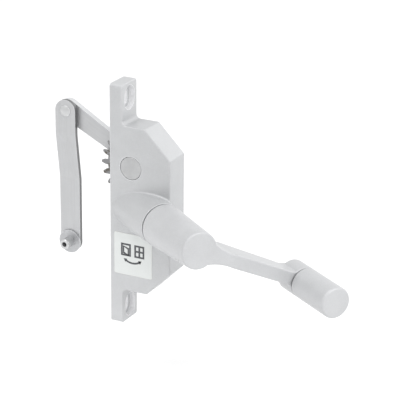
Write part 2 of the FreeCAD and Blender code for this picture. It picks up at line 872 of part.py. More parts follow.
def make_stud():
    """Hollow stud riveted in the link's lower end, for the sash bracket."""
    near = link_near() + link_joggle
    shoulder = near - stud_flange_thickness
    tip = shoulder - stud_reach
    stud = cross_rod(stud_radius, tip, shoulder, stud_centre)
    rim = [
        edge for edge in stud.Edges
        if edge.BoundBox.XLength < 0.001 and abs(edge.BoundBox.Center.x - tip) < 0.001
    ]
    stud = stud.makeChamfer(stud_chamfer, rim)
    stud = stud.fuse(cross_rod(stud_shank_radius, shoulder, near + link_thickness, stud_centre))
    return stud.cut(cross_rod(stud_bore_radius, tip - 1, near, stud_centre))


def make_stud_washer():
    """Round flange at the foot of the stud."""
    near = link_near() + link_joggle
    return cross_tube(stud_flange_radius, stud_shank_radius, near - stud_flange_thickness, near, stud_centre)


def make_label():
    """Thin label on the near side of the case."""
    high = -label_edge_depth
    low = high - label_width
    near = -half_width - label_thickness
    plate = box((near, low, label_top - label_height), (-half_width, high, label_top))
    corners = [edge for edge in plate.Edges if edge.BoundBox.XLength > label_thickness / 2]
    return plate.makeFillet(label_corner, corners)


on_shaft = {
    "crank_shaft": make_crank_shaft,
    "worm": make_worm,
    "spacer_sleeve": make_spacer_sleeve,
    "thrust_washers": make_thrust_washers,
    "front_bush": make_front_bush,
    "rear_bush": make_rear_bush,
    "boss_ring": make_boss_ring,
    "boss_seal": make_seal_ring,
}
on_handle = {
    "crank_handle": make_crank_handle,
    "set_screw": make_set_screw,
    "knob_pin": make_knob_pin,
    "knob": make_knob,
    "knob_clip": make_knob_clip,
    "knob_washer": make_knob_washer,
}
in_place = {
    "housing": make_housing,
    "back_cover": make_back_cover,
    "cover_screws": make_cover_screws,
    "pivot_pin": make_pivot_pin,
    "wheel_spacers": make_wheel_spacers,
    "wheel_bush": make_wheel_bush,
    "worm_wheel": make_worm_wheel,
    "swing_arm": make_swing_arm,
    "arm_rivets": lambda: Part.makeCompound(rivet_bars(wheel_near, arm_far)),
    "link": make_link,
    "link_rivet": make_link_rivet,
    "link_washer": make_link_washer,
    "sash_stud": make_stud,
    "stud_washer": make_stud_washer,
    "label": make_label,
}

os.makedirs("parts", exist_ok=True)
for name, make in in_place.items():
    make().exportStep(f"parts/{name}.step")
for name, make in on_shaft.items():
    placed(make(), shaft_frame).exportStep(f"parts/{name}.step")
for name, make in on_handle.items():
    placed(make(), handle_frame).exportStep(f"parts/{name}.step")
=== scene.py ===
import json
import math

import bpy
from bpy.props import FloatProperty, FloatVectorProperty, PointerProperty
from mathutils import Matrix, Vector


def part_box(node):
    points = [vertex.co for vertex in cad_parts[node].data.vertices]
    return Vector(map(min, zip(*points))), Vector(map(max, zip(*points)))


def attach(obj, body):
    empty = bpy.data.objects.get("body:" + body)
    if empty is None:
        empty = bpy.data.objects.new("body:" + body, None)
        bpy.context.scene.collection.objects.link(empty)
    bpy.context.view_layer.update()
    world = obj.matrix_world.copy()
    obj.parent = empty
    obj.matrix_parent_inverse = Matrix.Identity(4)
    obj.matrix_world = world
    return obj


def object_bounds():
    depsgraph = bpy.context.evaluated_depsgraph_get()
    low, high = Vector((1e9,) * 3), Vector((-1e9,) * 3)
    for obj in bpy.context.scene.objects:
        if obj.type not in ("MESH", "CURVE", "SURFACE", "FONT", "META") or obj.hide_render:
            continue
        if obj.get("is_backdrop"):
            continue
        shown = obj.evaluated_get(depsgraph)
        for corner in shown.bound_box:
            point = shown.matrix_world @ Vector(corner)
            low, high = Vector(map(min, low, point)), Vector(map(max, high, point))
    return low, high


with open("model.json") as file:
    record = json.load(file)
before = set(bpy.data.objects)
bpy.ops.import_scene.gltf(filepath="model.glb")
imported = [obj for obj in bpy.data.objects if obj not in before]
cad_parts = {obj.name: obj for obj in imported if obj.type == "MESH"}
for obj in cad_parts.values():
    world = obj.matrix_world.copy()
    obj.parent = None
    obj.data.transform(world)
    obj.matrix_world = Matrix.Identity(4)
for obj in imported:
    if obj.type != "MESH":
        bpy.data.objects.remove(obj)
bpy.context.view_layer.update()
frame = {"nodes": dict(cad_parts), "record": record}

bl_info = {
    "name": "Window Sash Crank Operator",
    "version": (1, 0, 0),
    "blender": (4, 5, 0),
    "location": "View3D > Sidebar > Sash Crank",
    "description": "Finishes, printed label and studio for a crank operator of a window sash",
    "category": "Object",
}

MM = 0.001


class SashCrankFinish(bpy.types.PropertyGroup):
    """Colours and grain sizes of the finishes."""

    coat_colour: FloatVectorProperty(
        name="Coating", description="Satin coating on the castings", subtype="COLOR",
        default=(0.430, 0.436, 0.444), min=0, max=1,
    )
    handle_colour: FloatVectorProperty(
        name="Handle coating", description="Satin coating on the handle and knob", subtype="COLOR",
        default=(0.45, 0.455, 0.464), min=0, max=1,
    )
    strip_colour: FloatVectorProperty(
        name="Strip steel", description="Plated strip of the arm and the link", subtype="COLOR",
        default=(0.47, 0.475, 0.483), min=0, max=1,
    )
    pin_colour: FloatVectorProperty(
        name="Pin steel", description="Plated pins, shaft and stud", subtype="COLOR",
        default=(0.56, 0.565, 0.57), min=0, max=1,
    )
    gear_colour: FloatVectorProperty(
        name="Gear steel", description="Cut steel of the worm and the sector", subtype="COLOR",
        default=(0.24, 0.24, 0.245), min=0, max=1,
    )
    cover_colour: FloatVectorProperty(
        name="Cover sheet", description="Zinc plated back cover", subtype="COLOR",
        default=(0.46, 0.466, 0.477), min=0, max=1,
    )
    bronze_colour: FloatVectorProperty(
        name="Bronze", description="Sintered bearing bronze", subtype="COLOR",
        default=(0.46, 0.26, 0.10), min=0, max=1,
    )
    felt_colour: FloatVectorProperty(
        name="Felt", description="Oiled felt of the boss seal", subtype="COLOR",
        default=(0.045, 0.043, 0.04), min=0, max=1,
    )
    nylon_colour: FloatVectorProperty(
        name="Nylon", description="Dark moulded washers", subtype="COLOR",
        default=(0.05, 0.05, 0.052), min=0, max=1,
    )
    film_colour: FloatVectorProperty(
        name="Label film", description="White printed film", subtype="COLOR",
        default=(0.555, 0.572, 0.566), min=0, max=1,
    )
    ink_colour: FloatVectorProperty(
        name="Ink", description="Dark printing ink", subtype="COLOR",
        default=(0.035, 0.036, 0.04), min=0, max=1,
    )
    # Painted light: the case lightens the shaded walls of its screw slots out to this margin.
    slot_light_margin: FloatProperty(
        name="Slot light margin", description="From the screw slot to the edge of its painted light",
        subtype="DISTANCE", default=3.1 * MM, min=0,
    )
    # Painted light: this colour stands in for light on the shaded walls of the screw slots; it is not bare
    # metal.
    slot_light_colour: FloatVectorProperty(
        name="Slot light", description="Painted light on the shaded walls of the screw slots", subtype="COLOR",
        default=(0.82, 0.82, 0.83), min=0, max=1,
    )
    edge_round: FloatProperty(
        name="Edge rounding", description="Radius that every sharp edge is softened by", subtype="DISTANCE",
        default=0.5 * MM, min=0, max=2 * MM,
    )


class SashCrankLabel(bpy.types.PropertyGroup):
    """Sizes of the symbols printed on the label."""

    symbol_width: FloatProperty(
        name="Symbol width", description="Width of each window symbol", subtype="DISTANCE", default=7.4 * MM)
    symbol_height: FloatProperty(
        name="Symbol height", description="Height of each window symbol", subtype="DISTANCE",
        default=8.8 * MM)
    symbol_gap: FloatProperty(
        name="Symbol gap", description="Space between the two symbols", subtype="DISTANCE", default=2.6 * MM)
    symbol_drop: FloatProperty(
        name="Symbol drop", description="From the label's top to the symbols", subtype="DISTANCE",
        default=7.0 * MM)
    symbol_indent: FloatProperty(
        name="Symbol indent", description="From the label's edge at the wall to the first symbol",
        subtype="DISTANCE", default=5.0 * MM)
    stroke: FloatProperty(
        name="Stroke", description="Width of the printed lines", subtype="DISTANCE", default=1.25 * MM)
    leaf_share: FloatProperty(
        name="Leaf share", description="Size of the open leaf against its window", subtype="FACTOR",
        default=0.62, min=0, max=1)
    leaf_stroke: FloatProperty(
        name="Leaf stroke", description="Line width of the open leaf against the stroke", subtype="FACTOR",
        default=0.8, min=0, max=1)
    leaf_drop: FloatProperty(
        name="Leaf drop", description="How far the leaf's free side hangs, against the symbol's height",
        subtype="FACTOR", default=0.16, min=0, max=1)
    head_size: FloatProperty(
        name="Arrow head size", description="Radius of an arrow head against the stroke", default=1.25)
    arrow_radius: FloatProperty(
        name="Arrow radius", description="Radius of the turning arrow", subtype="DISTANCE", default=9.4 * MM)
    arrow_spread: FloatProperty(
        name="Arrow spread", description="Angle that the turning arrow covers", subtype="ANGLE",
        default=math.radians(70))
    arrow_drop: FloatProperty(
        name="Arrow drop", description="From the label's top to the arrow's lowest point", subtype="DISTANCE",
        default=20.2 * MM)
    ink_thickness: FloatProperty(
        name="Ink thickness", description="Height of the print above the film", subtype="DISTANCE",
        default=0.05 * MM)


class SashCrankStudio(bpy.types.PropertyGroup):
    """Camera, floor and light."""

    azimuth: FloatProperty(
        name="Camera azimuth", description="Turn of the camera about the upright axis", subtype="ANGLE",
        default=math.radians(-62.87))
    elevation: FloatProperty(
        name="Camera elevation", description="Height angle of the camera", subtype="ANGLE",
        default=math.radians(20.52))
    roll: FloatProperty(
        name="Camera roll", description="Turn of the camera about its own axis", subtype="ANGLE",
        default=math.radians(0.6))
    distance: FloatProperty(
        name="Camera distance", description="From the camera to the plane of the origin", subtype="DISTANCE",
        default=1.2433)
    aim_right: FloatProperty(
        name="Aim right", description="Camera's place to the right of the origin", subtype="DISTANCE",
        default=0.0539)
    aim_up: FloatProperty(
        name="Aim up", description="Camera's place above the origin", subtype="DISTANCE", default=0.0)
    lens: FloatProperty(
        name="Lens", description="Focal length in millimetres on a 36 mm frame", default=170.5)
    floor_gap: FloatProperty(
        name="Floor gap", description="Space between the operator and the floor", subtype="DISTANCE",
        default=40.0 * MM)
    sky: FloatProperty(name="Sky light", description="Strength of the even white surround", default=1.0)
    key: FloatProperty(
        name="Key light", description="Power of the soft light over the room side", default=11.0)
    fill: FloatProperty(
        name="Fill light", description="Power of the soft light from the far side", default=3.0)
    rim: FloatProperty(name="Top light", description="Power of the soft light from above", default=9.0)
    low: FloatProperty(name="Low light", description="Power of the soft light near the foot", default=0.07)


# Node building

def add_node(tree, kind, place, **values):
    """New node with its attributes set."""
    node = tree.nodes.new(kind)
    node.location = place
    for name, value in values.items():
        setattr(node, name, value)
    return node


def math_node(tree, operation, place, first, second=None, third=None):
    """Math node with each input linked or set."""
    node = add_node(tree, "ShaderNodeMath", place, operation=operation)
    for index, value in enumerate((first, second, third)):
        if isinstance(value, bpy.types.NodeSocket):
            tree.links.new(value, node.inputs[index])
        elif value is not None:
            node.inputs[index].default_value = value
    return node.outputs[0]


def ramp_node(tree, place, source, low, high):
    """Map Range from low..high to 0..1, smooth and clamped."""
    node = add_node(tree, "ShaderNodeMapRange", place, interpolation_type="SMOOTHSTEP")
    node.inputs["From Min"].default_value = low
    node.inputs["From Max"].default_value = high
    tree.links.new(source, node.inputs["Value"])
    return node.outputs["Result"]


def mix_colour(tree, place, factor, first, second):
    """Colour mix whose colours are sockets or plain values."""
    node = add_node(tree, "ShaderNodeMix", place, data_type="RGBA")
    tree.links.new(factor, node.inputs["Factor"])
    for socket, value in ((node.inputs[6], first), (node.inputs[7], second)):
        if isinstance(value, bpy.types.NodeSocket):
            tree.links.new(value, socket)
        else:
            socket.default_value = (*value, 1)
    return node.outputs[2]


def new_group(name, inputs, outputs):
    """Empty shader group with float inputs and named outputs; returns the tree and its two end nodes."""
    tree = bpy.data.node_groups.new(name, "ShaderNodeTree")
    for label, default in inputs:
        socket = tree.interface.new_socket(label, in_out="INPUT", socket_type="NodeSocketFloat")
        socket.default_value = default
    for label, kind in outputs:
        tree.interface.new_socket(label, in_out="OUTPUT", socket_type=kind)
    return tree, add_node(tree, "NodeGroupInput", (-900, 0)), add_node(tree, "NodeGroupOutput", (600, 0))


def noise(tree, place, vector, scale, detail=2.0, roughness=0.5):
    """Noise texture on a vector; scale is a socket or a number."""
    node = add_node(tree, "ShaderNodeTexNoise", place)
    node.inputs["Detail"].default_value = detail
    node.inputs["Roughness"].default_value = roughness
    tree.links.new(vector, node.inputs["Vector"])
    if isinstance(scale, bpy.types.NodeSocket):
        tree.links.new(scale, node.inputs["Scale"])
    else:
        node.inputs["Scale"].default_value = scale
    return node.outputs["Fac"]


def soft_edge_group():
    """Rounds sharp edges in the shading, and marks a wider band along them, where most materials paint a
    lighter edge as a painted highlight.
    """
    tree, start, end = new_group(
        "soft_edge", [("Radius", 0.0004)], [("Normal", "NodeSocketVector"), ("Edge", "NodeSocketFloat")])
    bevel = add_node(tree, "ShaderNodeBevel", (-600, 0), samples=6)
    tree.links.new(start.outputs["Radius"], bevel.inputs["Radius"])
    wide = add_node(tree, "ShaderNodeBevel", (-600, -400), samples=8)
    band = math_node(tree, "MULTIPLY", (-750, -400), start.outputs["Radius"], 2.4)
    tree.links.new(band, wide.inputs["Radius"])
    geometry = add_node(tree, "ShaderNodeNewGeometry", (-600, -200))
    dot = add_node(tree, "ShaderNodeVectorMath", (-350, -100), operation="DOT_PRODUCT")
    tree.links.new(wide.outputs["Normal"], dot.inputs[0])
    tree.links.new(geometry.outputs["Normal"], dot.inputs[1])
    turned = math_node(tree, "SUBTRACT", (-150, -100), 1.0, dot.outputs["Value"])
    tree.links.new(bevel.outputs["Normal"], end.inputs["Normal"])
    tree.links.new(ramp_node(tree, (50, -100), turned, 0.02, 0.20), end.inputs["Edge"])
    return tree


def cast_grain_group():
    """Orange peel, slow mottling and fine flecks of a coating sprayed on a casting."""
    tree, start, end = new_group(
        "cast_grain",
        [("Peel Scale", 900.0), ("Mottle Scale", 70.0), ("Fleck Scale", 2600.0)],
        [("Height", "NodeSocketFloat"), ("Mottle", "NodeSocketFloat"), ("Fleck", "NodeSocketFloat")])
    place = add_node(tree, "ShaderNodeTexCoord", (-900, -250)).outputs["Object"]
    peel = noise(tree, (-600, 200), place, start.outputs["Peel Scale"], 1.5)
    mottle = noise(tree, (-600, 0), place, start.outputs["Mottle Scale"], 4.0, 0.62)
    cells = add_node(tree, "ShaderNodeTexVoronoi", (-600, -250))
    tree.links.new(place, cells.inputs["Vector"])
    tree.links.new(start.outputs["Fleck Scale"], cells.inputs["Scale"])
    shade = add_node(tree, "ShaderNodeSeparateColor", (-350, -250))
    tree.links.new(cells.outputs["Color"], shade.inputs["Color"])
    tree.links.new(peel, end.inputs["Height"])
    tree.links.new(ramp_node(tree, (-150, 0), mottle, 0.3, 0.7), end.inputs["Mottle"])
    tree.links.new(ramp_node(tree, (-150, -250), shade.outputs["Red"], 0.55, 1.0), end.inputs["Fleck"])
    return tree


def drawn_lines_group():
    """Fine lines left by rolling or brushing, long along one direction of the object."""
    tree, start, end = new_group(
        "drawn_lines",
        [("Lean", 0.0), ("Fine Scale", 2200.0), ("Stretch", 0.03)],
        [("Height", "NodeSocketFloat"), ("Streak", "NodeSocketFloat"), ("Cloud", "NodeSocketFloat")])
    place = add_node(tree, "ShaderNodeTexCoord", (-900, -250)).outputs["Object"]
    lean = add_node(tree, "ShaderNodeCombineXYZ", (-750, 150))
    tree.links.new(start.outputs["Lean"], lean.inputs["X"])
    turn = add_node(tree, "ShaderNodeMapping", (-600, 100))
    tree.links.new(place, turn.inputs["Vector"])
    tree.links.new(lean.outputs["Vector"], turn.inputs["Rotation"])
    squeeze = add_node(tree, "ShaderNodeCombineXYZ", (-600, -150))
    squeeze.inputs["X"].default_value = 1.0
    squeeze.inputs["Y"].default_value = 1.0
    tree.links.new(start.outputs["Stretch"], squeeze.inputs["Z"])
    longways = add_node(tree, "ShaderNodeVectorMath", (-400, 0), operation="MULTIPLY")
    tree.links.new(turn.outputs["Vector"], longways.inputs[0])
    tree.links.new(squeeze.outputs["Vector"], longways.inputs[1])
    lines = noise(tree, (-200, 100), longways.outputs["Vector"], start.outputs["Fine Scale"], 3.0, 0.6)
    cloud = noise(tree, (-200, -200), place, 90.0, 3.0, 0.6)
    tree.links.new(lines, end.inputs["Height"])
    tree.links.new(ramp_node(tree, (100, 100), lines, 0.3, 0.7), end.inputs["Streak"])
    tree.links.new(ramp_node(tree, (100, -200), cloud, 0.3, 0.7), end.inputs["Cloud"])
    return tree


GROUPS = {}


def place_group(tree, name, place, **values):
    """Puts a shared group into a material with its own values."""
    node = add_node(tree, "ShaderNodeGroup", place, node_tree=GROUPS[name])
    for label, value in values.items():
        node.inputs[label.replace("_", " ")].default_value = value
    return node.outputs


def start_material(name, metallic, coat=0.0, coat_roughness=0.1, specular=0.5):
    """Material with its Principled shader and the constants set on its own sockets."""
    material = bpy.data.materials.new(name)
    material.use_nodes = True
    tree = material.node_tree
    shader = tree.nodes["Principled BSDF"]
    shader.inputs["Metallic"].default_value = metallic
    shader.inputs["Coat Weight"].default_value = coat
    shader.inputs["Coat Roughness"].default_value = coat_roughness
    shader.inputs["Specular IOR Level"].default_value = specular
    return material, tree, shader


def finish_surface(tree, shader, height, strength, distance, normal):
    """Bump over the softened normal into the shader."""
    bump = add_node(tree, "ShaderNodeBump", (-150, -350))
    bump.inputs["Strength"].default_value = strength
    bump.inputs["Distance"].default_value = distance
    tree.links.new(height, bump.inputs["Height"])
    tree.links.new(normal, bump.inputs["Normal"])
    tree.links.new(bump.outputs["Normal"], shader.inputs["Normal"])


def between(tree, place, factor, low, high):
    """Value that runs from low to high with a factor."""
    node = add_node(tree, "ShaderNodeMapRange", place)
    tree.links.new(factor, node.inputs["Value"])
    node.inputs["To Min"].default_value = low
    node.inputs["To Max"].default_value = high
    return node.outputs["Result"]


def shade(colour, factor):
    """Colour made lighter or darker."""
    return tuple(min(1.0, channel * factor) for channel in colour)


def inside_slots(tree, place, margin):
    """Mask of the walls of the two screw slots and their seats, from the sizes of their mount; the case
    paints light into this mask.
    """
    screws = next(row for row in frame["record"]["mounts"] if row["name"] == "frame_screws")
    sizes = screws["dims"]
    axes = add_node(tree, "ShaderNodeSeparateXYZ", (place[0] + 150, place[1]))
    facing = add_node(tree, "ShaderNodeSeparateXYZ", (place[0] + 150, place[1] - 150))
    source = add_node(tree, "ShaderNodeTexCoord", place)
    tree.links.new(source.outputs["Object"], axes.inputs["Vector"])
    tree.links.new(source.outputs["Normal"], facing.inputs["Vector"])
    across = math_node(tree, "ABSOLUTE", (place[0] + 300, place[1]), axes.outputs["X"])
    height = math_node(tree, "ABSOLUTE", (place[0] + 300, place[1] - 150), axes.outputs["Z"])
    slot_height = sizes["spacing_y_mm"] / 2 * MM
    along = math_node(tree, "SUBTRACT", (place[0] + 450, place[1] - 150), height, slot_height)
    along = math_node(tree, "ABSOLUTE", (place[0] + 600, place[1] - 150), along)
    forward = math_node(tree, "ABSOLUTE", (place[0] + 450, place[1] - 300), facing.outputs["Y"])
    near = math_node(tree, "LESS_THAN", (place[0] + 600, place[1]), across, sizes["hole_r_mm"] * MM + margin)
    level = math_node(
        tree, "LESS_THAN", (place[0] + 750, place[1] - 150), along, sizes["slot_length_mm"] / 2 * MM + margin)
    wall = math_node(tree, "LESS_THAN", (place[0] + 750, place[1] - 300), forward, 0.5)
    both = math_node(tree, "MULTIPLY", (place[0] + 900, place[1]), near, level)
    return math_node(tree, "MULTIPLY", (place[0] + 1050, place[1]), both, wall)


def coated_casting(name, colour, edge_round, slot_light=None, slot_light_margin=0.0):
    """Satin silver-grey coating with orange peel, faint mottling and flecks; its lighter edges are partly
    rubbed wear and partly a painted highlight.
    """
    material, tree, shader = start_material(name, 0.18, coat=0.2, coat_roughness=0.18, specular=0.4)
    edge = place_group(tree, "soft_edge", (-900, -300), Radius=edge_round)
    grain = place_group(tree, "cast_grain", (-900, 100))
    body = mix_colour(tree, (-600, 200), grain["Mottle"], shade(colour, 0.965), shade(colour, 1.03))
    speck = math_node(tree, "MULTIPLY", (-600, 0), grain["Fleck"], 0.35)
    flecked = mix_colour(tree, (-400, 200), speck, body, shade(colour, 1.16))
    # Painted highlight, partly rubbed wear: the edge band is lightened towards 1.7 times the coating.
    wear_and_highlight = math_node(tree, "MULTIPLY", (-600, -150), edge["Edge"], 0.85)
    # Painted light: the shaded walls of the screw slots are lightened to the slot light colour.
    if slot_light:
        flecked = mix_colour(tree, (-300, 350), inside_slots(tree, (-1500, 600), slot_light_margin), flecked, slot_light)
    tree.links.new(mix_colour(tree, (-200, 200), wear_and_highlight, flecked, shade(colour, 1.7)),
                   shader.inputs["Base Color"])
    tree.links.new(between(tree, (-400, -50), grain["Mottle"], 0.40, 0.50), shader.inputs["Roughness"])
    finish_surface(tree, shader, grain["Height"], 0.10, 0.0002, edge["Normal"])
    return material


def plated_strip(name, colour, edge_round, lean, side_tone_and_painted_light):
    """Plated strip steel with lines along its length, whose sheared sides get another tone: a darker tone is
    partly the cut steel's own colour and partly painted shade, a lighter tone is a painted highlight; its
    lighter edges are partly rubbed wear and partly a painted highlight.
    """
    material, tree, shader = start_material(name, 0.55)
    edge = place_group(tree, "soft_edge", (-900, -300), Radius=edge_round)
    lines = place_group(tree, "drawn_lines", (-900, 100), Lean=lean, Fine_Scale=1500.0, Stretch=0.02)
    body = mix_colour(tree, (-600, 200), lines["Streak"], shade(colour, 0.95), shade(colour, 1.05))
    cloudy = mix_colour(tree, (-400, 200), math_node(tree, "MULTIPLY", (-600, 0), lines["Cloud"], 0.3),
                        body, shade(colour, 0.90))
    facing = add_node(tree, "ShaderNodeSeparateXYZ", (-900, -600))
    source = add_node(tree, "ShaderNodeTexCoord", (-1100, -600))
    tree.links.new(source.outputs["Normal"], facing.inputs["Vector"])
    # Painted light on the sheared sides: below 1 the side tone is partly painted shade, above 1 it is a
    # painted highlight.
    flat = math_node(tree, "ABSOLUTE", (-700, -600), facing.outputs["X"])
    side_mask = math_node(tree, "SUBTRACT", (-400, -600), 1.0, ramp_node(tree, (-550, -600), flat, 0.4, 0.8))
    sides = mix_colour(tree, (-200, 200), side_mask, cloudy, shade(colour, side_tone_and_painted_light))
    # Painted highlight, partly rubbed wear: the edge band is lightened towards 1.6 times the steel.
    wear_and_highlight = math_node(tree, "MULTIPLY", (-600, -150), edge["Edge"], 0.6)
    tree.links.new(mix_colour(tree, (0, 200), wear_and_highlight, sides, shade(colour, 1.6)), shader.inputs["Base Color"])
    tree.links.new(between(tree, (-400, -50), lines["Streak"], 0.34, 0.46), shader.inputs["Roughness"])
    finish_surface(tree, shader, lines["Height"], 0.12, 0.0001, edge["Normal"])
    return material


def turned_steel(name, colour, edge_round, roughness):
    """Plated turned steel with fine tool lines and brighter rims, which are partly rubbed wear and partly a
    painted highlight.
    """
    material, tree, shader = start_material(name, 0.75)
    edge = place_group(tree, "soft_edge", (-900, -300), Radius=edge_round)
    lines = place_group(tree, "drawn_lines", (-900, 100), Fine_Scale=3000.0, Stretch=1.0)
    body = mix_colour(tree, (-600, 200), lines["Cloud"], shade(colour, 0.92), shade(colour, 1.06))
    # Painted highlight, partly rubbed wear: the edge band is lightened towards 1.4 times the steel.
    wear_and_highlight = math_node(tree, "MULTIPLY", (-600, -150), edge["Edge"], 0.6)
    tree.links.new(mix_colour(tree, (-200, 200), wear_and_highlight, body, shade(colour, 1.4)),
                   shader.inputs["Base Color"])
    tree.links.new(between(tree, (-400, -50), lines["Cloud"], roughness, roughness + 0.1),
                   shader.inputs["Roughness"])
    finish_surface(tree, shader, lines["Height"], 0.08, 0.0001, edge["Normal"])
    return material


def greased_gear(name, colour, edge_round):
    """Cut steel with patches of amber grease that stay dark and wet."""
    material, tree, shader = start_material(name, 0.7, coat_roughness=0.15)
    edge = place_group(tree, "soft_edge", (-900, -300), Radius=edge_round)
    grain = place_group(tree, "cast_grain", (-900, 100), Peel_Scale=1800.0, Mottle_Scale=260.0)
    wet = ramp_node(tree, (-650, 50), grain["Mottle"], 0.45, 0.75)
    body = mix_colour(tree, (-400, 200), wet, colour, (0.085, 0.075, 0.06))
    # Painted highlight, partly rubbed wear: the edge band is lightened towards twice the steel.
    wear_and_highlight = math_node(tree, "MULTIPLY", (-600, -150), edge["Edge"], 0.5)
    tree.links.new(mix_colour(tree, (-200, 200), wear_and_highlight, body, shade(colour, 2.0)),
                   shader.inputs["Base Color"])
    tree.links.new(between(tree, (-400, -50), wet, 0.42, 0.16), shader.inputs["Roughness"])
    tree.links.new(between(tree, (-400, -200), wet, 0.0, 0.8), shader.inputs["Coat Weight"])
    finish_surface(tree, shader, grain["Height"], 0.25, 0.0002, edge["Normal"])
    return material


def spangled_sheet(name, colour, edge_round):
    """Zinc plated sheet with crystal spangles."""
    material, tree, shader = start_material(name, 0.85)
    edge = place_group(tree, "soft_edge", (-900, -300), Radius=edge_round)
    spangle = place_group(tree, "cast_grain", (-900, 100), Fleck_Scale=700.0, Mottle_Scale=300.0)
    tone = math_node(tree, "MULTIPLY", (-650, 50), spangle["Fleck"], 0.8)
    body = mix_colour(tree, (-400, 200), tone, shade(colour, 0.95), shade(colour, 1.12))
    # Painted highlight: the edge band is lightened towards 1.4 times the sheet.
    tree.links.new(mix_colour(tree, (-200, 200), edge["Edge"], body, shade(colour, 1.4)),
                   shader.inputs["Base Color"])
    tree.links.new(between(tree, (-400, -50), spangle["Fleck"], 0.34, 0.42), shader.inputs["Roughness"])
    finish_surface(tree, shader, spangle["Height"], 0.15, 0.0001, edge["Normal"])
    return material


def sintered_bronze(name, colour, edge_round):
    """Porous bronze with dark oil in the pores."""
    material, tree, shader = start_material(name, 0.85)
    edge = place_group(tree, "soft_edge", (-900, -300), Radius=edge_round)
    pores = place_group(
        tree, "cast_grain", (-900, 100), Peel_Scale=2600.0, Mottle_Scale=300.0, Fleck_Scale=3800.0)
    body = mix_colour(tree, (-600, 200), pores["Mottle"], shade(colour, 0.75), shade(colour, 1.15))
    tree.links.new(mix_colour(tree, (-300, 200), pores["Fleck"], body, shade(colour, 0.35)),
                   shader.inputs["Base Color"])
    tree.links.new(between(tree, (-400, -50), pores["Mottle"], 0.35, 0.55), shader.inputs["Roughness"])
    finish_surface(tree, shader, pores["Height"], 0.4, 0.0002, edge["Normal"])
    return material


def fibrous_felt(name, colour, edge_round):
    """Matted felt with fibres standing out in places."""
    material, tree, shader = start_material(name, 0.0, specular=0.2)
    shader.inputs["Sheen Weight"].default_value = 0.4
    edge = place_group(tree, "soft_edge", (-900, -300), Radius=edge_round)
    fibre = place_group(tree, "drawn_lines", (-900, 100), Lean=0.6, Fine_Scale=2400.0, Stretch=0.25)
    body = mix_colour(tree, (-600, 200), fibre["Streak"], shade(colour, 0.6), shade(colour, 1.8))
    tree.links.new(mix_colour(tree, (-300, 200), math_node(tree, "MULTIPLY", (-450, 0), fibre["Cloud"], 0.5),
                              body, shade(colour, 0.7)), shader.inputs["Base Color"])
    tree.links.new(between(tree, (-400, -50), fibre["Cloud"], 0.85, 0.98), shader.inputs["Roughness"])
    finish_surface(tree, shader, fibre["Height"], 0.9, 0.0004, edge["Normal"])
    return material


def moulded_nylon(name, colour, edge_round):
    """Moulded nylon with a fine spark-eroded texture."""
    material, tree, shader = start_material(name, 0.0)
    edge = place_group(tree, "soft_edge", (-900, -300), Radius=edge_round)
    grain = place_group(tree, "cast_grain", (-900, 100), Peel_Scale=3000.0, Mottle_Scale=150.0)
    tree.links.new(mix_colour(tree, (-400, 200), grain["Mottle"], shade(colour, 0.85), shade(colour, 1.2)),
                   shader.inputs["Base Color"])
    tree.links.new(between(tree, (-400, -50), grain["Mottle"], 0.45, 0.58), shader.inputs["Roughness"])
    finish_surface(tree, shader, grain["Height"], 0.2, 0.0001, edge["Normal"])
    return material


def label_film(name, colour, edge_round):
    """White film, faintly clouded, with slightly yellowed rims."""
    material, tree, shader = start_material(name, 0.0, coat=0.15, coat_roughness=0.2)
    edge = place_group(tree, "soft_edge", (-900, -300), Radius=edge_round)
    grain = place_group(tree, "cast_grain", (-900, 100), Peel_Scale=500.0, Mottle_Scale=120.0)
    body = mix_colour(tree, (-400, 200), grain["Mottle"], shade(colour, 0.985), shade(colour, 1.01))
    tree.links.new(mix_colour(tree, (-200, 200), edge["Edge"], body, (0.70, 0.69, 0.64)),
                   shader.inputs["Base Color"])
    tree.links.new(between(tree, (-400, -50), grain["Mottle"], 0.32, 0.42), shader.inputs["Roughness"])
    finish_surface(tree, shader, grain["Height"], 0.05, 0.0001, edge["Normal"])
    return material


def printed_ink(name, colour):
    """Screen-printed ink with a slightly uneven lay-down."""
    material, tree, shader = start_material(name, 0.0)
    edge = place_group(tree, "soft_edge", (-900, -300), Radius=0.00003)
    grain = place_group(tree, "cast_grain", (-900, 100), Peel_Scale=2600.0, Mottle_Scale=900.0)
    tree.links.new(mix_colour(tree, (-400, 200), grain["Mottle"], colour, shade(colour, 2.4)),
                   shader.inputs["Base Color"])
    tree.links.new(between(tree, (-400, -50), grain["Mottle"], 0.35, 0.55), shader.inputs["Roughness"])
    finish_surface(tree, shader, grain["Height"], 0.1, 0.00005, edge["Normal"])
    return material


def seamless_paper(name):
    """White paper of the studio floor."""
    material, tree, shader = start_material(name, 0.0, specular=0.1)
    place = add_node(tree, "ShaderNodeTexCoord", (-900, 0)).outputs["Object"]
    fibres = noise(tree, (-650, 0), place, 40.0, 4.0, 0.6)
    tree.links.new(mix_colour(tree, (-400, 100), fibres, (0.84, 0.84, 0.84), (0.86, 0.86, 0.86)),
                   shader.inputs["Base Color"])
    tree.links.new(between(tree, (-400, -150), fibres, 0.85, 0.95), shader.inputs["Roughness"])
    return material


# Working on meshes

def clear_selection():
    """Leaves nothing selected and nothing active."""
    if bpy.context.object and bpy.context.object.mode != "OBJECT":
        bpy.ops.object.mode_set(mode="OBJECT")
    bpy.ops.object.select_all(action="DESELECT")


def settle(piece, name, material):
    """Names a piece, puts its place into its mesh and gives it its material."""
    piece.name = name
    piece.data.name = name
    bpy.ops.object.transform_apply(location=True, rotation=True, scale=True)
    piece.data.materials.clear()
    piece.data.materials.append(material)
    return piece


def label_place(right, down):
    """Point on the label's face, measured from its upper corner at the wall."""
    low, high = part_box("label")
    return Vector((low.x, high.y - right, high.z - down))


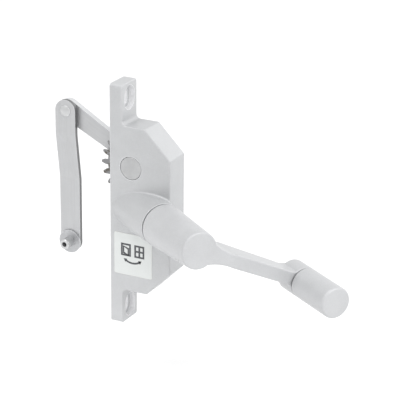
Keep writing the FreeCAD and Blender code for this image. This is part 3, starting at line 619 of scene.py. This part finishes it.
def add_sheet(centre, width, height):
    """Flat sheet on the label's face, active and in edit mode."""
    clear_selection()
    bpy.ops.mesh.primitive_plane_add(size=1, location=centre, rotation=(0, -math.pi / 2, 0))
    sheet = bpy.context.object
    sheet.scale = (height, width, 1)
    bpy.ops.object.transform_apply(location=True, rotation=True, scale=True)
    bpy.ops.object.mode_set(mode="EDIT")
    bpy.ops.mesh.select_all(action="SELECT")
    return sheet


def raise_print(piece, thickness):
    """Gives a flat print its thickness away from the case."""
    bpy.ops.mesh.select_all(action="SELECT")
    bpy.ops.mesh.extrude_region_move(TRANSFORM_OT_translate={"value": (-thickness, 0, 0)})
    bpy.ops.mesh.select_all(action="SELECT")
    bpy.ops.mesh.normals_make_consistent(inside=False)
    bpy.ops.object.mode_set(mode="OBJECT")
    return piece


def add_window_frame(centre, width, height, stroke, cuts):
    """Window symbol: an outline with bars between its panes."""
    outline = add_sheet(centre, width, height)
    bpy.ops.mesh.inset(thickness=stroke / 2)
    if cuts:
        bpy.ops.mesh.subdivide(number_cuts=cuts)
    bpy.ops.mesh.inset(thickness=stroke / 2, use_individual=True)
    bpy.ops.mesh.delete(type="FACE")
    return outline


# Operators

class SASHCRANK_OT_finishes(bpy.types.Operator):
    """Gives every part of the operator the finish of its material slot"""

    bl_idname = "sashcrank.finishes"
    bl_label = "Finish the parts"

    def execute(self, context):
        look = context.scene.sashcrank_finish
        GROUPS["soft_edge"] = soft_edge_group()
        GROUPS["cast_grain"] = cast_grain_group()
        GROUPS["drawn_lines"] = drawn_lines_group()
        radius = look.edge_round
        small = radius * 0.6
        arm_lean = math.radians(61.6)
        finishes = {
            # The case paints light into its screw slots with the slot light colour.
            "cast_grey": coated_casting(
                "coated_case", look.coat_colour, radius, tuple(look.slot_light_colour), look.slot_light_margin),
            "handle_grey": coated_casting("coated_handle", look.handle_colour, radius),
            "knob_grey": coated_casting("coated_knob", look.handle_colour, radius),
            # 0.34 darkens the link's sheared sides: partly the cut steel's own tone, partly painted shade.
            "arm_steel": plated_strip("plated_strip", look.strip_colour, radius, 0.0, 0.34),
            "gear_steel": greased_gear("greased_gear", look.gear_colour, small),
            "pin_steel": turned_steel("plated_pin", look.pin_colour, small, 0.28),
            "zinc_sheet": spangled_sheet("zinc_sheet", look.cover_colour, small),
            "screw_steel": turned_steel("plated_screw", shade(look.pin_colour, 0.8), radius * 0.4, 0.35),
            "bronze": sintered_bronze("sintered_bronze", look.bronze_colour, small),
            "seal_felt": fibrous_felt("oiled_felt", look.felt_colour, small),
            "nylon": moulded_nylon("dark_nylon", look.nylon_colour, small),
            "label_film": label_film("label_film", look.film_colour, radius * 0.3),
        }
        special = {
            # 1.3 lightens the arm's sheared sides: a painted highlight.
            "swing_arm": plated_strip("plated_arm", look.strip_colour, radius, arm_lean, 1.3),
            "pivot_pin": turned_steel("plated_pivot", shade(look.pin_colour, 0.8), radius, 0.4),
        }
        for subpart in frame["record"]["subparts"]:
            node = frame["nodes"][subpart["node"]]
            finish = special.get(subpart["node"], finishes[subpart["material_slot"]])
            node.data.materials.clear()
            node.data.materials.append(finish)
        return {"FINISHED"}


class SASHCRANK_OT_window_symbols(bpy.types.Operator):
    """Prints an open and a closed window on the label"""

    bl_idname = "sashcrank.window_symbols"
    bl_label = "Print the window symbols"

    def execute(self, context):
        size = context.scene.sashcrank_label
        ink = printed_ink("printed_ink", context.scene.sashcrank_finish.ink_colour)
        middle_drop = size.symbol_drop + size.symbol_height / 2
        first = size.symbol_indent + size.symbol_width / 2
        second = first + size.symbol_width + size.symbol_gap
        for name, right, cuts in (("print_open", first, 0), ("print_closed", second, 1)):
            centre = label_place(right, middle_drop)
            symbol = add_window_frame(centre, size.symbol_width, size.symbol_height, size.stroke, cuts)
            piece = raise_print(symbol, size.ink_thickness)
            if name == "print_open":
                leaf = add_window_frame(
                    centre, size.symbol_width * size.leaf_share, size.symbol_height * size.leaf_share,
                    size.stroke * size.leaf_stroke, 0)
                bpy.ops.mesh.select_all(action="DESELECT")
                bpy.ops.object.mode_set(mode="OBJECT")
                for vertex in leaf.data.vertices:
                    vertex.select = vertex.co.y < centre.y
                for edge in leaf.data.edges:
                    edge.select = all(leaf.data.vertices[index].select for index in edge.vertices)
                bpy.ops.object.mode_set(mode="EDIT")
                bpy.ops.transform.translate(value=(0, 0, -size.symbol_height * size.leaf_drop))
                raise_print(leaf, size.ink_thickness)
                piece.select_set(True)
                bpy.context.view_layer.objects.active = piece
                bpy.ops.object.join()
            settle(piece, name, ink)
            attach(piece, "frame")
        return {"FINISHED"}


class SASHCRANK_OT_turning_arrow(bpy.types.Operator):
    """Prints the curved arrow with a head at both ends below the symbols"""

    bl_idname = "sashcrank.turning_arrow"
    bl_label = "Print the turning arrow"

    def execute(self, context):
        size = context.scene.sashcrank_label
        ink = bpy.data.materials["printed_ink"]
        right = size.symbol_indent + size.symbol_width + size.symbol_gap / 2
        pivot = label_place(right, size.arrow_drop - size.arrow_radius)
        half = size.arrow_spread / 2
        stroke = size.stroke
        start = pivot + Vector((0, math.sin(half), -math.cos(half))) * size.arrow_radius
        bar = add_sheet(start, stroke, stroke)
        bpy.ops.transform.rotate(value=-half, orient_axis="X", center_override=start)
        bpy.ops.mesh.delete(type="ONLY_FACE")
        bpy.ops.object.mode_set(mode="OBJECT")
        forward = Vector((0, -math.cos(half), -math.sin(half)))
        ahead = max((vertex.co - start).dot(forward) for vertex in bar.data.vertices)
        for vertex in bar.data.vertices:
            vertex.select = (vertex.co - start).dot(forward) < ahead - stroke / 2
        for edge in bar.data.edges:
            edge.select = all(bar.data.vertices[index].select for index in edge.vertices)
        bpy.ops.object.mode_set(mode="EDIT")
        bpy.ops.mesh.delete(type="VERT")
        bpy.ops.mesh.select_all(action="SELECT")
        bpy.ops.mesh.select_mode(type="EDGE")
        bpy.ops.mesh.spin(steps=28, angle=size.arrow_spread, center=pivot, axis=(1, 0, 0))
        bpy.ops.mesh.select_mode(type="VERT")
        piece = raise_print(bar, size.ink_thickness)
        for side in (-1, 1):
            lean = side * half
            tip = pivot + Vector((0, -math.sin(lean), -math.cos(lean))) * size.arrow_radius
            clear_selection()
            bpy.ops.mesh.primitive_circle_add(
                vertices=3, radius=stroke * size.head_size, fill_type="NGON", location=tip,
                rotation=(0, -math.pi / 2, 0))
            head = context.object
            bpy.ops.object.transform_apply(location=True, rotation=True, scale=True)
            bpy.ops.object.mode_set(mode="EDIT")
            bpy.ops.mesh.select_all(action="SELECT")
            turn = -half if side < 0 else half - math.pi
            bpy.ops.transform.rotate(value=turn, orient_axis="X", center_override=tip)
            raise_print(head, size.ink_thickness)
            piece.select_set(True)
            context.view_layer.objects.active = piece
            bpy.ops.object.join()
        settle(piece, "print_arrow", ink)
        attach(piece, "frame")
        return {"FINISHED"}


class SASHCRANK_OT_studio(bpy.types.Operator):
    """Sets up the floor, the soft lights and the camera"""

    bl_idname = "sashcrank.studio"
    bl_label = "Set up the studio"

    def execute(self, context):
        studio = context.scene.sashcrank_studio
        clear_selection()
        low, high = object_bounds()
        bpy.ops.mesh.primitive_plane_add(size=8, location=(0, 0, low[2] - studio.floor_gap))
        floor = settle(context.object, "studio_floor", seamless_paper("floor_paper"))
        floor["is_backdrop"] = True

        world = bpy.data.worlds.new("studio_surround")
        world.use_nodes = True
        backdrop = world.node_tree.nodes["Background"]
        backdrop.inputs["Color"].default_value = (1, 1, 1, 1)
        backdrop.inputs["Strength"].default_value = studio.sky
        context.scene.world = world
        context.scene.view_settings.view_transform = "Standard"

        aim = Vector((0, -0.06, 0))
        lights = (
            ("key_light", (-0.35, -1.45, 0.80), 0.8, studio.key),
            ("fill_light", (1.3, -0.5, 0.5), 1.0, studio.fill),
            ("top_light", (-0.5, 0.25, 1.5), 0.8, studio.rim),
            ("low_light", (-0.15, 0.05, -0.10), 0.06, studio.low),
        )
        for name, place, side, power in lights:
            towards = aim - Vector(place)
            turn = towards.to_track_quat("-Z", "Y").to_euler()
            bpy.ops.object.light_add(type="AREA", location=place, rotation=turn)
            lamp = context.object
            lamp.name = name
            lamp.data.shape = "SQUARE"
            lamp.data.size = side
            lamp.data.energy = power
            lamp.visible_camera = False
            lamp.visible_glossy = name != "low_light"

        turn, rise, lean = studio.azimuth, studio.elevation, studio.roll
        back = Vector((math.sin(turn) * math.cos(rise), -math.cos(turn) * math.cos(rise), math.sin(rise)))
        level = Vector((math.cos(turn), math.sin(turn), 0))
        upward = back.cross(level)
        right = level * math.cos(lean) + upward * math.sin(lean)
        up = upward * math.cos(lean) - level * math.sin(lean)
        place = right * studio.aim_right + up * studio.aim_up + back * studio.distance
        turned = Matrix((right, up, back)).transposed().to_euler()
        bpy.ops.object.camera_add(location=place, rotation=turned)
        camera = context.object
        camera.name = "studio_camera"
        camera.data.lens = studio.lens
        camera.data.sensor_width = 36
        camera.data.clip_start = 0.05
        camera.data.clip_end = 30
        context.scene.camera = camera
        return {"FINISHED"}


class SASHCRANK_PT_panel(bpy.types.Panel):
    """Steps that finish the crank operator"""

    bl_idname = "SASHCRANK_PT_panel"
    bl_label = "Sash Crank"
    bl_space_type = "VIEW_3D"
    bl_region_type = "UI"
    bl_category = "Sash Crank"

    def draw(self, context):
        layout = self.layout
        for group in ("sashcrank_finish", "sashcrank_label", "sashcrank_studio"):
            box = layout.box()
            settings = getattr(context.scene, group)
            for name in settings.__annotations__:
                box.prop(settings, name)
        for step in STEPS:
            layout.operator(step.bl_idname)


STEPS = (
    SASHCRANK_OT_finishes,
    SASHCRANK_OT_window_symbols,
    SASHCRANK_OT_turning_arrow,
    SASHCRANK_OT_studio,
)
CLASSES = (SashCrankFinish, SashCrankLabel, SashCrankStudio, *STEPS, SASHCRANK_PT_panel)


def register():
    for item in CLASSES:
        bpy.utils.register_class(item)
    bpy.types.Scene.sashcrank_finish = PointerProperty(type=SashCrankFinish)
    bpy.types.Scene.sashcrank_label = PointerProperty(type=SashCrankLabel)
    bpy.types.Scene.sashcrank_studio = PointerProperty(type=SashCrankStudio)


def unregister():
    del bpy.types.Scene.sashcrank_studio
    del bpy.types.Scene.sashcrank_label
    del bpy.types.Scene.sashcrank_finish
    for item in reversed(CLASSES):
        bpy.utils.unregister_class(item)


def main():
    register()
    bpy.ops.sashcrank.finishes()
    bpy.ops.sashcrank.window_symbols()
    bpy.ops.sashcrank.turning_arrow()
    bpy.ops.sashcrank.studio()


if __name__ == "__main__":
    main()
